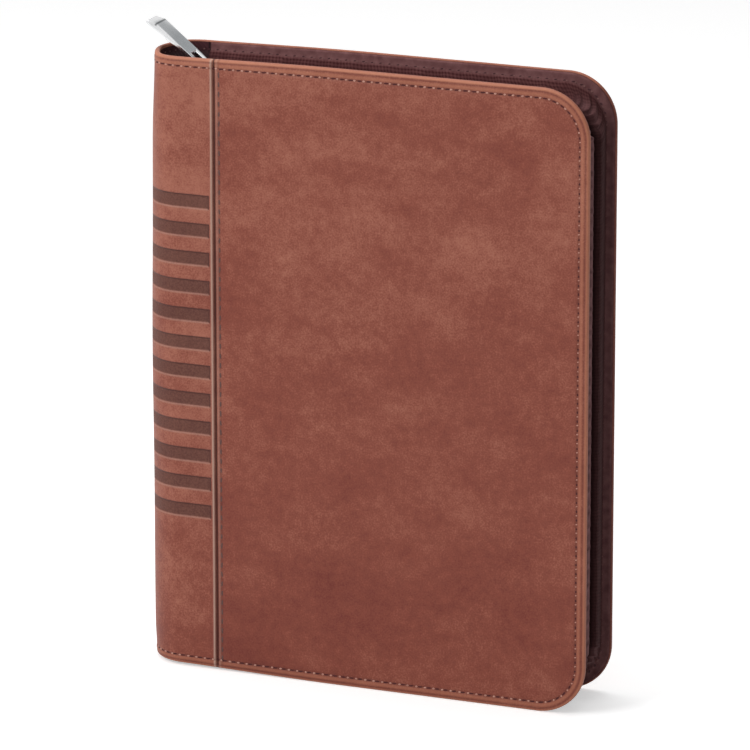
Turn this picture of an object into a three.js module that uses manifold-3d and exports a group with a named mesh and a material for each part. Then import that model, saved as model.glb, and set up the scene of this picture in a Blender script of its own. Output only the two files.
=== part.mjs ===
// A zip-round diary binder, closed and standing on its lower edge. Millimetres.
// X runs from the spine to the fore-edge, Y from the front cover to the back cover, Z up.
import * as THREE from 'three';
import { mergeVertices } from 'three/addons/utils/BufferGeometryUtils.js';
import Module from 'manifold-3d';

const wasm = await Module();
wasm.setup();

// Paper: the case is made round it
const pageHeight = 210;
const pageWidth = 148;
const blockThickness = 4.2;
const pageCornerRadius = 8;
const pageHoleDiameter = 6.2;
const pageHoleEdge = 5.4;
const pageDrop = 0.8;             // how far the pages sag before their holes meet the rings
const pageClear = 2;              // from the pages to the zip
const holePitch = 19;
const holeEndInset = 32;          // from a page's end to its nearest hole
const holesPerHalf = 3;

// Closed case
const thickness = 32;
const foreCornerRadius = 19;
const touch = 0.3;                // gap left between pieces that touch

// Layers of a cover, from outside in
const leatherThickness = 1.3;
const boardThickness = 2;
const liningThickness = 0.7;
const pocketThickness = 0.8;

// Spine panel, its embossed bars and its seams to the cover leather
const seamX = 30.7;
const barCount = 12;
const barPitch = 11.02;
const barHeight = 5.2;
const barRaise = 3.5;             // the bars' middle lies this far above the spine's
const barDepth = 0.3;
const barToSeam = 1.3;
const spineBoardAngle = THREE.MathUtils.degToRad(41);
const foldAngle = THREE.MathUtils.degToRad(45);

// Zip: each tape lies on its cover, then crosses the gusset to its coil
const zipStartX = 18;
const zipCornerRadius = 13;
const zipTopInset = 10.5;
const zipForeInset = 7;
const tapeThickness = 0.6;
const tapeEdgeInset = 0.9;
const tapeDrop = 1.9;             // how far the crossing stretch sinks on its way to the coil
const coilWidth = 2.4;
const coilHeight = 2.2;
const coilGap = 1.2;              // stands for the teeth that part round the slider's neck
const stopLength = 2.2;

// Slider and pull tab
const sliderToStart = 3;
const sliderLength = 10;
const sliderWidth = 8.8;
const sliderPlate = 1.1;
const sliderRunning = 0.3;
const sliderNeck = 0.6;
const sliderNeckLength = 4;
const sliderNeckInset = 1;
const bailRadius = 2.8;
const bailWire = 1.2;
const tabLength = 26.8;
const tabWidth = 8.6;
const tabThickness = 1.9;
const tabTipThickness = 2.6;
const tabTipCut = 3.2;
const tabTipEdge = 0.6;
const tabEye = 1.1;
const tabHoleLength = 5.8;
const tabHoleWidth = 4.6;
const tabAngle = THREE.MathUtils.degToRad(142);

// Ring mechanism
const ringInnerDiameter = 15;
const ringWire = 2;
const ringToRail = 6.4;
const ringLegY = 2.9;             // where a ring's wire leaves its blade
const railEndInset = 9;
const railWidth = 16;
const railRise = 3.92;
const railSheet = 0.8;
const railShoulder = 1.2;
const bladeThickness = 0.8;
const bladeRoom = 2.3;            // under the rail's crown, for the blades' middle to rise into
const bladeEndInset = 4;
const wireSlotFrom = 1.2;
const wireSlotClear = 0.6;
const leverLength = 9;
const leverThickness = 1.2;
const leverGap = 0.6;             // from the end of the blades
const leverOverlap = 4;           // how far the rail's walls reach past its cut-back crown
const rivetShank = 2.8;
const rivetHead = 5.6;
const rivetHeadHeight = 0.7;
const rivetEndInset = 10;
const rivetBladeClear = 0.9;

// Pockets on the linings
const pocketFromX = 58;
const pocketClear = 3;
const pocketFoot = 22;
const cardStep = 17;
const cardRise = 58;
const cardSteps = 3;

// How finely curves are cut into flat faces
const arcSteps = 12;              // a quarter turn round the spine
const outlineSteps = 10;          // a corner of a flat outline
const zipCornerSteps = 8;
const roundSides = 16;
const ringArcSteps = 11;
const ringStations = 24;
const wireSegments = 4;
const bailSides = 8;
const weldDistance = 1e-4;
const past = 1;                   // how far a solid that cuts runs past what it cuts

// Sizes that follow, across the spine
const spineRadius = thickness / 2;
const boardDepth = leatherThickness + touch;
const liningDepth = boardDepth + boardThickness + touch;
const skin = liningDepth + liningThickness;
const inside = spineRadius - skin;              // half the clear space between the linings
const railEdge = railWidth / 2;
const railFootX = spineRadius - Math.sqrt(inside ** 2 - railEdge ** 2) + touch;
const railCrownX = railFootX + railRise;
const bladeX = railCrownX - railSheet - bladeRoom;
const bladeMiddleX = bladeX + bladeThickness / 2;
const bladeEdge = railEdge - railSheet - touch;
const ringCentreX = railCrownX + ringToRail;
const ringRadius = (ringInnerDiameter + ringWire) / 2;

// Sizes that follow, from the paper out to the case
const holeX = ringCentreX + ringRadius + touch;
const slotHalf = coilHeight / 2 + sliderRunning;
const width = holeX - pageHoleEdge + pageWidth + pageClear + coilHeight / 2 + zipForeInset;
const height = pageHeight + 2 * (pageClear + sliderPlate + slotHalf + zipTopInset);
const middleZ = height / 2;
const quarterTurn = spineRadius * Math.PI / 2;
const foldRun = spineRadius * foldAngle;
const seamRun = quarterTurn + seamX - spineRadius;
const foreRun = quarterTurn + width - spineRadius;
const tapeBend = zipTopInset - tapeDrop;
const coilZ = height - zipTopInset;
const sliderX = zipStartX + sliderToStart;
const sliderTop = coilZ + slotHalf + sliderPlate;
const tabPivotZ = sliderTop + bailWire;
const holeZs = [];
for (let k = 0; k < holesPerHalf; k += 1) {
  const offset = pageHeight / 2 - holeEndInset - k * holePitch;
  holeZs.push(middleZ - offset, middleZ + offset);
}
const railLength = pageHeight - 2 * railEndInset;
const bladeLength = railLength - 2 * bladeEndInset;
const rivetOffset = bladeLength / 2 - rivetEndInset;
const rivetZs = [middleZ - rivetOffset, middleZ + rivetOffset];

const colours = {
  cognac: { color: 0x8a4c40, roughness: 0.5, metalness: 0 },
  board: { color: 0x9a8a74, roughness: 0.9, metalness: 0 },
  lining: { color: 0x4a262b, roughness: 0.8, metalness: 0 },
  tape: { color: 0x553036, roughness: 0.9, metalness: 0 },
  coil: { color: 0x2c1619, roughness: 0.5, metalness: 0 },
  pocket: { color: 0x6e3b33, roughness: 0.6, metalness: 0 },
  chrome: { color: 0xb4b8ba, roughness: 0.15, metalness: 1 },
  steel: { color: 0x9da0a3, roughness: 0.3, metalness: 1 },
  paper: { color: 0xf1ece0, roughness: 0.9, metalness: 0 },
};

// Solids: closed meshes joined and cut

function solidOf(geometry) {
  const bare = geometry.index ? geometry.clone() : geometry;
  bare.deleteAttribute('normal');
  bare.deleteAttribute('uv');
  const merged = mergeVertices(bare, weldDistance);
  const mesh = new wasm.Mesh({
    numProp: 3,
    vertProperties: new Float32Array(merged.attributes.position.array),
    triVerts: new Uint32Array(merged.index.array),
  });
  return new wasm.Manifold(mesh);
}

function geometryOf(solid) {
  const mesh = solid.getMesh();
  const geometry = new THREE.BufferGeometry();
  geometry.setAttribute('position', new THREE.BufferAttribute(mesh.vertProperties, 3));
  geometry.setIndex(new THREE.BufferAttribute(mesh.triVerts, 1));
  geometry.computeVertexNormals();
  return geometry;
}

function box(x0, x1, y0, y1, z0, z1) {
  const geometry = new THREE.BoxGeometry(x1 - x0, y1 - y0, z1 - z0);
  geometry.translate((x0 + x1) / 2, (y0 + y1) / 2, (z0 + z1) / 2);
  return solidOf(geometry);
}

// The stretch of Y from near to far, on the front's side (-1) or the back's (1)
function sideSpan(side, near, far) {
  return side < 0 ? [-far, -near] : [near, far];
}

// A cylinder along X
function rodAlongX(x0, x1, y, z, radius, sides) {
  const geometry = new THREE.CylinderGeometry(radius, radius, x1 - x0, sides);
  geometry.rotateZ(Math.PI / 2);
  geometry.translate((x0 + x1) / 2, y, z);
  return solidOf(geometry);
}

// A cylinder along Y
function rodAlongY(y0, y1, x, z, radius, sides) {
  const geometry = new THREE.CylinderGeometry(radius, radius, y1 - y0, sides);
  geometry.translate(x, (y0 + y1) / 2, z);
  return solidOf(geometry);
}

function prismAlongZ(outline, z0, z1) {
  const shape = new THREE.Shape(outline);
  const geometry = new THREE.ExtrudeGeometry(shape, { depth: z1 - z0, bevelEnabled: false });
  geometry.translate(0, 0, z0);
  return solidOf(geometry);
}

// The outline's points are X and Z
function prismAlongY(shape, y0, y1) {
  const options = { depth: y1 - y0, bevelEnabled: false, curveSegments: outlineSteps };
  const geometry = new THREE.ExtrudeGeometry(shape, options);
  geometry.rotateX(Math.PI / 2);
  geometry.translate(0, y1, 0);
  return solidOf(geometry);
}

// Cover layers: a run goes round the case from the spine's middle, positive to the front

function girthPoint(run, depth) {
  const side = run < 0 ? 1 : -1;
  const length = Math.abs(run);
  const angle = Math.min(length, quarterTurn) / spineRadius;
  const radius = spineRadius - depth;
  const straight = Math.max(length - quarterTurn, 0);
  return new THREE.Vector2(spineRadius - radius * Math.cos(angle) + straight, side * radius * Math.sin(angle));
}

function runStations(from, to) {
  const step = quarterTurn / arcSteps;
  const inner = [];
  for (let k = -arcSteps; k <= arcSteps; k += 1) {
    inner.push(k * step);
  }
  const between = inner.filter((run) => run > from + step / 4 && run < to - step / 4);
  return [from, ...between, to];
}

function layer(from, to, outerDepth, innerDepth, z0, z1) {
  const stations = runStations(from, to);
  const outer = stations.map((run) => girthPoint(run, outerDepth));
  const inner = stations.map((run) => girthPoint(run, innerDepth)).reverse();
  return prismAlongZ([...outer, ...inner], z0, z1);
}

// The case seen from the front, drawn in from its edges
function caseOutline(inset) {
  const radius = foreCornerRadius - inset;
  const fore = width - inset;
  const top = height - inset;
  const shape = new THREE.Shape();
  shape.moveTo(-spineRadius, inset);
  shape.lineTo(fore - radius, inset);
  shape.absarc(fore - radius, inset + radius, radius, -Math.PI / 2, 0, false);
  shape.lineTo(fore, top - radius);
  shape.absarc(fore - radius, top - radius, radius, 0, Math.PI / 2, false);
  shape.lineTo(-spineRadius, top);
  shape.closePath();
  return prismAlongY(shape, -thickness, thickness);
}

const fullOutline = caseOutline(0);
const leatherOutline = caseOutline(leatherThickness);
const innerOutline = caseOutline(leatherThickness + touch);

// Leather is turned in over every edge, down to the lining
function leatherPanel(from, to) {
  const whole = layer(from, to, 0, skin, 0, height).intersect(fullOutline);
  const hollow = layer(from - past, to + past, leatherThickness, skin + past, 0, height);
  return whole.subtract(hollow.intersect(leatherOutline));
}

function embossedBars() {
  const reach = seamRun - barToSeam;
  const low = middleZ + barRaise - barPitch * (barCount - 1) / 2;
  let bars = null;
  for (let k = 0; k < barCount; k += 1) {
    const z = low + k * barPitch;
    const bar = layer(-reach, reach, -past, barDepth, z - barHeight / 2, z + barHeight / 2);
    bars = bars ? bars.add(bar) : bar;
  }
  return bars;
}

const bars = embossedBars();

function innerLayer(from, to, outerDepth, innerDepth) {
  return layer(from, to, outerDepth, innerDepth, 0, height).intersect(innerOutline);
}

// Zip: paths run beside the case's open edges, from the top of the spine to its foot

function edgePath(topInset, foreInset, radius, y) {
  const points = [];
  const fore = width - foreInset;
  const corner = (centreZ, start) => {
    for (let k = 0; k <= zipCornerSteps; k += 1) {
      const angle = start - k * Math.PI / 2 / zipCornerSteps;
      points.push(new THREE.Vector3(
        fore - radius + radius * Math.cos(angle), y, centreZ + radius * Math.sin(angle),
      ));
    }
  };
  points.push(new THREE.Vector3(zipStartX, y, height - topInset));
  corner(height - topInset - radius, Math.PI / 2);
  corner(topInset + radius, 0);
  points.push(new THREE.Vector3(zipStartX, y, topInset));
  return points;
}

// Joins paths of equal length into one closed solid: each path is an edge of its section
function loft(section) {
  const crossing = (paths, step) => paths.map((path) => new THREE.Vector2(path[step].y, path[step].z));
  const clockwise = THREE.ShapeUtils.area(crossing(section, 0)) < 0;
  const paths = clockwise ? [...section].reverse() : section;
  const sides = paths.length;
  const steps = paths[0].length;
  const at = (side, step) => (side % sides) * steps + step;
  const index = [];
  for (let side = 0; side < sides; side += 1) {
    for (let step = 0; step < steps - 1; step += 1) {
      index.push(at(side, step), at(side + 1, step), at(side, step + 1));
      index.push(at(side + 1, step), at(side + 1, step + 1), at(side, step + 1));
    }
  }
  // An end face turns the way of the walls at the last step, and against them at the first
  const addEnd = (step, turn) => {
    const outline = crossing(paths, step);
    const outlineTurn = Math.sign(THREE.ShapeUtils.area(outline)) * turn;
    for (const [a, b, c] of THREE.ShapeUtils.triangulateShape(outline, [])) {
      const forward = THREE.ShapeUtils.area([outline[a], outline[b], outline[c]]) * outlineTurn > 0;
      index.push(at(a, step), at(forward ? b : c, step), at(forward ? c : b, step));
    }
  };
  addEnd(0, -1);
  addEnd(steps - 1, 1);
  const positions = paths.flatMap((path) => path.flatMap((point) => point.toArray()));
  const geometry = new THREE.BufferGeometry();
  geometry.setAttribute('position', new THREE.Float32BufferAttribute(positions, 3));
  geometry.setIndex(index);
  geometry.computeVertexNormals();
  return geometry;
}

// The corner's radius shrinks from the case's own towards the coil's
function cornerRadius(topInset) {
  const share = topInset / zipTopInset;
  return foreCornerRadius + (zipCornerRadius - foreCornerRadius) * share;
}

// side is -1 for the front half of the zip and 1 for the back half
function zipSolid(section, side) {
  return loft(section.map(({ top, fore, y }) => edgePath(top, fore, cornerRadius(top), side * y)));
}

function tapeGeometry(side) {
  const lie = inside - touch;
  const coilY = coilGap / 2 + coilWidth + touch;
  const half = tapeThickness / 2;
  const foreBend = zipForeInset - tapeDrop;
  return zipSolid([
    { top: tapeEdgeInset, fore: tapeEdgeInset, y: lie },
    { top: tapeBend + half, fore: foreBend + half, y: lie },
    { top: zipTopInset + half, fore: zipForeInset + half, y: coilY },
    { top: zipTopInset - half, fore: zipForeInset - half, y: coilY },
    { top: tapeBend - half, fore: foreBend - half, y: lie - tapeThickness },
    { top: tapeEdgeInset, fore: tapeEdgeInset, y: lie - tapeThickness },
  ], side);
}

function coilGeometry(side) {
  const near = coilGap / 2;
  const far = near + coilWidth;
  const half = coilHeight / 2;
  return zipSolid([
    { top: zipTopInset - half, fore: zipForeInset - half, y: far },
    { top: zipTopInset + half, fore: zipForeInset + half, y: far },
    { top: zipTopInset + half, fore: zipForeInset + half, y: near },
    { top: zipTopInset - half, fore: zipForeInset - half, y: near },
  ], side);
}

// A clip beyond the end of one coil
function zipStop(side, z) {
  const [y0, y1] = sideSpan(side, coilGap / 2, coilGap / 2 + coilWidth);
  const x1 = zipStartX - touch;
  return box(x1 - stopLength, x1, y0, y1, z - coilHeight / 2, z + coilHeight / 2);
}

// Slider: two plates joined by a neck between the coils, with a bail on top
function bail() {
  const geometry = new THREE.TorusGeometry(bailRadius, bailWire / 2, bailSides, ringStations);
  geometry.rotateX(Math.PI / 2);
  geometry.translate(sliderX, 0, sliderTop);
  const reach = bailRadius + bailWire;
  const below = box(
    sliderX - reach, sliderX + reach, -reach, reach, sliderTop - reach, sliderTop - sliderPlate / 2,
  );
  return solidOf(geometry).subtract(below);
}

function slider() {
  const x0 = sliderX - sliderLength / 2;
  const x1 = sliderX + sliderLength / 2;
  const y1 = sliderWidth / 2;
  const top = box(x0, x1, -y1, y1, coilZ + slotHalf, sliderTop);
  const bottom = box(x0, x1, -y1, y1, coilZ - slotHalf - sliderPlate, coilZ - slotHalf);
  const neckFrom = x0 + sliderNeckInset;
  const neck = box(
    neckFrom, neckFrom + sliderNeckLength, -sliderNeck / 2, sliderNeck / 2,
    coilZ - slotHalf - sliderPlate / 2, coilZ + slotHalf + sliderPlate / 2,
  );
  return top.add(bottom).add(neck).add(bail());
}

// Drawn lying along X from its pivot, then turned up to the angle it rests at
function pullTab() {
  const shape = new THREE.Shape();
  shape.moveTo(-tabEye / 2, -tabEye / 2);
  shape.lineTo(tabHoleLength + tabEye, -tabThickness / 2);
  shape.lineTo(tabLength - tabTipCut, -tabThickness / 2);
  shape.lineTo(tabLength, tabTipThickness - tabThickness / 2 - tabTipEdge);
  shape.lineTo(tabLength, tabTipThickness - tabThickness / 2);
  shape.lineTo(tabHoleLength + tabEye, tabThickness / 2);
  shape.lineTo(-tabEye / 2, tabEye / 2);
  shape.closePath();
  const blank = prismAlongY(shape, -tabWidth / 2, tabWidth / 2);
  const hole = box(
    tabEye / 2, tabEye / 2 + tabHoleLength, -tabHoleWidth / 2, tabHoleWidth / 2, -thickness, thickness,
  );
  return blank.subtract(hole);
}

// Paper: one block hangs on the front half of the rings and one on the back half
function pageBlock(side) {
  const [y0, y1] = sideSpan(side, touch / 2, touch / 2 + blockThickness);
  const x0 = holeX - pageHoleEdge;
  const x1 = x0 + pageWidth;
  const z0 = middleZ - pageHeight / 2 - pageDrop;
  const z1 = z0 + pageHeight;
  const radius = pageCornerRadius;
  const sheet = new THREE.Shape();
  sheet.moveTo(x0, z0);
  sheet.lineTo(x1 - radius, z0);
  sheet.absarc(x1 - radius, z0 + radius, radius, -Math.PI / 2, 0, false);
  sheet.absarc(x1 - radius, z1 - radius, radius, 0, Math.PI / 2, false);
  sheet.lineTo(x0, z1);
  sheet.closePath();
  let block = prismAlongY(sheet, y0, y1);
  for (const z of holeZs) {
    block = block.subtract(rodAlongY(y0 - past, y1 + past, holeX, z - pageDrop, pageHoleDiameter / 2, roundSides));
  }
  return block;
}

// Ring mechanism
// Half of one ring's wire, from its blade round to the tip at the middle
function ringWireSolid(side, z) {
  const curve = new THREE.CurvePath();
  const start = Math.asin(ringLegY / ringRadius);
  const tip = Math.PI - Math.asin(touch / 2 / ringRadius);
  const at = (angle) => new THREE.Vector3(
    ringCentreX - ringRadius * Math.cos(angle), side * ringRadius * Math.sin(angle), z,
  );
  curve.add(new THREE.LineCurve3(new THREE.Vector3(bladeMiddleX, side * ringLegY, z), at(start)));
  for (let k = 0; k < ringArcSteps; k += 1) {
    const a = start + (tip - start) * k / ringArcSteps;
    const b = start + (tip - start) * (k + 1) / ringArcSteps;
    curve.add(new THREE.LineCurve3(at(a), at(b)));
  }
  const section = new THREE.Shape();
  section.absarc(0, 0, ringWire / 2, 0, 2 * Math.PI, false);
  const options = {
    steps: ringStations, curveSegments: wireSegments, extrudePath: curve, bevelEnabled: false,
  };
  const wire = solidOf(new THREE.ExtrudeGeometry(section, options));
  const [y0, y1] = sideSpan(side, touch / 2, thickness);
  return wire.intersect(box(0, width, y0, y1, 0, height));
}

function rivetHoles(radius) {
  let holes = null;
  for (const z of rivetZs) {
    const hole = rodAlongX(0, ringCentreX, 0, z, radius, roundSides);
    holes = holes ? holes.add(hole) : hole;
  }
  return holes;
}

const rivetClearance = rivetHoles(rivetShank / 2 + touch);

function ringHalf(side) {
  const [y0, y1] = sideSpan(side, touch / 2, bladeEdge);
  const z0 = middleZ - bladeLength / 2;
  let half = box(bladeX, bladeX + bladeThickness, y0, y1, z0, z0 + bladeLength);
  half = half.subtract(rivetHoles(rivetShank / 2 + rivetBladeClear));
  for (const z of holeZs) {
    half = half.add(ringWireSolid(side, z));
  }
  return half;
}

// A sheet-steel channel on the spine's lining, slotted where the rings come through
function rail() {
  const z0 = middleZ - railLength / 2;
  const z1 = z0 + railLength;
  const profile = (edge, crown, shoulder, foot) => [
    new THREE.Vector2(foot, -edge),
    new THREE.Vector2(crown - shoulder, -edge),
    new THREE.Vector2(crown, -edge + shoulder),
    new THREE.Vector2(crown, edge - shoulder),
    new THREE.Vector2(crown - shoulder, edge),
    new THREE.Vector2(foot, edge),
  ];
  const innerCrown = railCrownX - railSheet;
  const innerEdge = railEdge - railSheet;
  const outer = profile(railEdge, railCrownX, railShoulder, railFootX);
  const hollow = profile(innerEdge, innerCrown, railShoulder, railFootX - railSheet);
  let solid = prismAlongZ(outer, z0, z1).subtract(prismAlongZ(hollow, z0 - past, z1 + past));
  const slot = ringWire / 2 + wireSlotClear;
  for (const z of holeZs) {
    for (const side of [-1, 1]) {
      const [y0, y1] = sideSpan(side, wireSlotFrom, railWidth);
      solid = solid.subtract(box(innerCrown - railShoulder, ringCentreX, y0, y1, z - slot, z + slot));
    }
  }
  const crownCut = innerCrown - railShoulder;
  for (const [low, high] of [[z0 - past, z0 + leverOverlap], [z1 - leverOverlap, z1 + past]]) {
    solid = solid.subtract(box(crownCut, ringCentreX, -innerEdge, innerEdge, low, high));
  }
  return solid.subtract(rivetClearance);
}

function rivet(z) {
  const headX = railCrownX + touch;
  const shank = rodAlongX(boardDepth, headX + rivetHeadHeight / 2, 0, z, rivetShank / 2, roundSides);
  return shank.add(rodAlongX(headX, headX + rivetHeadHeight, 0, z, rivetHead / 2, roundSides));
}

// A thumb tongue between the rail's walls, just past the end of the blades
function lever(end) {
  const start = middleZ + end * (bladeLength / 2 + leverGap);
  const tip = start + end * leverLength;
  return box(
    bladeX, bladeX + leverThickness, -bladeEdge, bladeEdge, Math.min(start, tip), Math.max(start, tip),
  );
}

function pocketStrip(side, z0, z1) {
  const far = inside - touch;
  const [y0, y1] = sideSpan(side, far - pocketThickness, far);
  return box(pocketFromX, width - zipForeInset - pocketClear, y0, y1, z0, z1);
}

// The assembly

const binder = new THREE.Group();

function part(name, finish, solid) {
  const geometry = solid instanceof THREE.BufferGeometry ? solid : geometryOf(solid);
  const mesh = new THREE.Mesh(geometry, new THREE.MeshStandardMaterial(colours[finish]));
  mesh.name = name;
  binder.add(mesh);
  return mesh;
}

function coverParts(name, side) {
  const order = (a, b) => (side < 0 ? [a, b] : [-b, -a]);
  const gap = touch / 2;
  const spinePanel = leatherPanel(...order(foldRun + gap, seamRun));
  part(`spine_panel_${name}`, 'cognac', spinePanel.subtract(bars));
  part(`${name}_leather`, 'cognac', leatherPanel(...order(seamRun + touch, foreRun)));
  const boardFrom = quarterTurn + touch;
  part(`${name}_board`, 'board', innerLayer(...order(boardFrom, foreRun), boardDepth, boardDepth + boardThickness));
  part(`${name}_lining`, 'lining', innerLayer(...order(foldRun + gap, foreRun), liningDepth, skin));
  part(`zip_tape_${name}`, 'tape', tapeGeometry(side));
  part(`zip_coil_${name}`, 'coil', coilGeometry(side));
  part(`zip_stop_top_${name}`, 'steel', zipStop(side, coilZ));
  part(`zip_stop_foot_${name}`, 'steel', zipStop(side, zipTopInset));
}

function spineParts() {
  const edge = foldRun - touch / 2;
  const boardEdge = spineRadius * spineBoardAngle;
  part('spine_panel_middle', 'cognac', leatherPanel(-edge, edge).subtract(bars));
  const stiffener = innerLayer(-boardEdge, boardEdge, boardDepth, boardDepth + boardThickness);
  part('spine_board', 'board', stiffener.subtract(rivetClearance));
  part('spine_lining', 'lining', innerLayer(-edge, edge, liningDepth, skin).subtract(rivetClearance));
}

function mechanismParts() {
  part('ring_rail', 'steel', rail());
  part('ring_half_front', 'chrome', ringHalf(-1));
  part('ring_half_back', 'chrome', ringHalf(1));
  part('ring_lever_top', 'chrome', lever(1));
  part('ring_lever_foot', 'chrome', lever(-1));
  rivetZs.forEach((z, k) => part(`rail_rivet_${k + 1}`, 'steel', rivet(z)));
}

function pocketParts() {
  part('card_pocket_1', 'pocket', pocketStrip(-1, pocketFoot, pocketFoot + cardRise));
  for (let k = 0; k < cardSteps; k += 1) {
    const z0 = pocketFoot + cardRise + touch + k * cardStep;
    part(`card_pocket_${k + 2}`, 'pocket', pocketStrip(-1, z0, z0 + cardStep - touch));
  }
  part('back_pocket', 'pocket', pocketStrip(1, pocketFoot, height - pocketFoot));
}

function sliderParts() {
  part('zip_slider', 'chrome', slider());
  const tab = part('pull_tab', 'chrome', pullTab());
  tab.rotation.y = -tabAngle;
  tab.position.set(sliderX, 0, tabPivotZ);
}

coverParts('front', -1);
coverParts('back', 1);
spineParts();
mechanismParts();
part('pages_front', 'paper', pageBlock(-1));
part('pages_back', 'paper', pageBlock(1));
pocketParts();
sliderParts();

// The origin lies on the ground under the middle of the whole binder
binder.updateMatrixWorld(true);
const middle = new THREE.Box3().setFromObject(binder).getCenter(new THREE.Vector3());
binder.position.set(-middle.x, -middle.y, 0);

export default binder;
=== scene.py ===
import math
import random

import bmesh
import bpy
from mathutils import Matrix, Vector


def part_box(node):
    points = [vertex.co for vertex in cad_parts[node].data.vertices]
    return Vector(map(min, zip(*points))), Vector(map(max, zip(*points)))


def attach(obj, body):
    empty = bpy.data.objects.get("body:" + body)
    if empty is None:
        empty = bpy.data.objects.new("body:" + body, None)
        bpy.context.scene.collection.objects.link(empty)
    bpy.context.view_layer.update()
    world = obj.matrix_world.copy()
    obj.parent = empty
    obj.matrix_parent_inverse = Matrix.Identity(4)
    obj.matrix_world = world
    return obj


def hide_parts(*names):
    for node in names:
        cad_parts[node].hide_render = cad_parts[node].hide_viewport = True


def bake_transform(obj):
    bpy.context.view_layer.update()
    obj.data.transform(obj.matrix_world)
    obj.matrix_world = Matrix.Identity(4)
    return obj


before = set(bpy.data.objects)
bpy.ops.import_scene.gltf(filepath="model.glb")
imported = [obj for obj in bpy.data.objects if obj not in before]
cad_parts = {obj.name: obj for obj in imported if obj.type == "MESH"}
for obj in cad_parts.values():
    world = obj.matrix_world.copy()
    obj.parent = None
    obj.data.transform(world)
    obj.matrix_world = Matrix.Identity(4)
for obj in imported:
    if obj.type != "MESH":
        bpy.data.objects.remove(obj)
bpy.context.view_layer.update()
random.seed(7)


# CAMERA
# A long lens, a little above the binder and turned towards its fore-edge, so that the front
# cover, half of the spine and the open gusset along the top all show.
turn = math.radians(21.73)
rise = math.radians(16.08)
distance = 2.365
aim = Vector((0.00657, -0.016, 0.1243))
away = Vector((math.sin(turn) * math.cos(rise), -math.cos(turn) * math.cos(rise), math.sin(rise)))
camera = bpy.data.objects.new("camera", bpy.data.cameras.new("camera"))
camera.location = aim + distance * away
camera.rotation_euler = (math.pi / 2 - rise, 0, turn)
camera.data.lens = 304.3
camera.data.sensor_width = 36
bpy.context.collection.objects.link(camera)
bpy.context.scene.camera = camera
bpy.context.scene.view_settings.view_transform = "Standard"


# STUDIO
# A white sweep under the binder and a white room round it. Metal and glass see the white room
# too, and the leather is lit by a plain soft level and three large lamps.
class Wire:
    """A socket in a node tree: sums on it add Math nodes, and node() adds any other node."""

    def __init__(self, tree, socket=None):
        self.tree = tree
        self.socket = socket

    def node(self, kind, settings, sockets, out=0):
        made = self.tree.nodes.new(kind)
        for name, value in settings.items():
            if name == "stops":
                elements = made.color_ramp.elements
                while len(elements) < len(value):
                    elements.new(0.5)
                for element, (place, colour) in zip(elements, value):
                    element.position = place
                    element.color = colour
            else:
                setattr(made, name, value)
        for name, value in sockets.items():
            self.plug(made.inputs[name], value)
        return Wire(self.tree, made.outputs[out])

    def plug(self, socket, value):
        if isinstance(value, Wire):
            self.tree.links.new(value.socket, socket)
        else:
            socket.default_value = value

    def math(self, operation, first, second):
        return self.node("ShaderNodeMath", {"operation": operation}, {0: first, 1: second})

    def mix(self, share, first, second, blend="MIX"):
        settings = {"data_type": "RGBA", "blend_type": blend}
        return self.node("ShaderNodeMix", settings, {0: share, 6: first, 7: second}, 2)

    def clamped(self, low, high):
        limits = {"Value": self, "From Min": low, "From Max": high}
        return self.node("ShaderNodeMapRange", {"clamp": True}, limits)

    def __add__(self, other):
        return self.math("ADD", self, other)

    def __sub__(self, other):
        return self.math("SUBTRACT", self, other)

    def __mul__(self, other):
        return self.math("MULTIPLY", self, other)

    def __rsub__(self, other):
        return self.math("SUBTRACT", other, self)

    __radd__ = __add__
    __rmul__ = __mul__


def tone(red, green, blue):
    """A colour as it looks on a screen, from 0 to 255, as the numbers a shader takes."""
    return tuple((part / 255) ** 2.2 for part in (red, green, blue)) + (1,)


def new_finish(name, **constants):
    """A material, its wire and its shader, with the sockets that don't vary set."""
    material = bpy.data.materials.new(name)
    material.use_nodes = True
    shader = material.node_tree.nodes["Principled BSDF"]
    for socket, value in constants.items():
        shader.inputs[socket.replace("_", " ")].default_value = value
    return material, Wire(material.node_tree), shader


def white_to_camera(wire, lit, output):
    """White for the camera and in reflections, which also show a grey card, and lit for the rest."""
    path = wire.node("ShaderNodeLightPath", {}, {}, "Is Camera Ray")
    glossy = wire.node("ShaderNodeLightPath", {}, {}, "Is Glossy Ray")
    passed = wire.node("ShaderNodeLightPath", {}, {}, "Is Transmission Ray")
    seen = wire.math("MAXIMUM", wire.math("MAXIMUM", path, glossy), passed)
    towards = wire.node("ShaderNodeTexCoord", {}, {}, "Generated")
    to_card = (0.2248, 0.8926, 0.3911)
    card_grey = (0.4, 0.415, 0.425, 1)
    dot = {"operation": "DOT_PRODUCT"}
    facing = wire.node("ShaderNodeVectorMath", dot, {0: towards, 1: to_card}, "Value")
    card = facing.clamped(0.925, 0.965) * glossy
    shade = wire.mix(card, (1, 1, 1, 1), card_grey)
    white = wire.node("ShaderNodeBackground", {}, {"Color": shade, "Strength": 1.0})
    wire.plug(output, wire.node("ShaderNodeMixShader", {}, {0: seen, 1: lit, 2: white}))


world = bpy.data.worlds.new("studio")
bpy.context.scene.world = world
world.use_nodes = True
room = Wire(world.node_tree)
room_light = room.node("ShaderNodeBackground", {}, {"Color": (1, 1, 1, 1), "Strength": 0.27})
white_to_camera(room, room_light, world.node_tree.nodes["World Output"].inputs["Surface"])


def new_piece(name, points, faces, material, smooth=True):
    """A mesh object from points in metres."""
    mesh = bpy.data.meshes.new(name)
    mesh.from_pydata(points, [], faces)
    mesh.polygons.foreach_set("use_smooth", [smooth] * len(mesh.polygons))
    mesh.materials.append(material)
    piece = bpy.data.objects.new(name, mesh)
    bpy.context.collection.objects.link(piece)
    return piece


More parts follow.
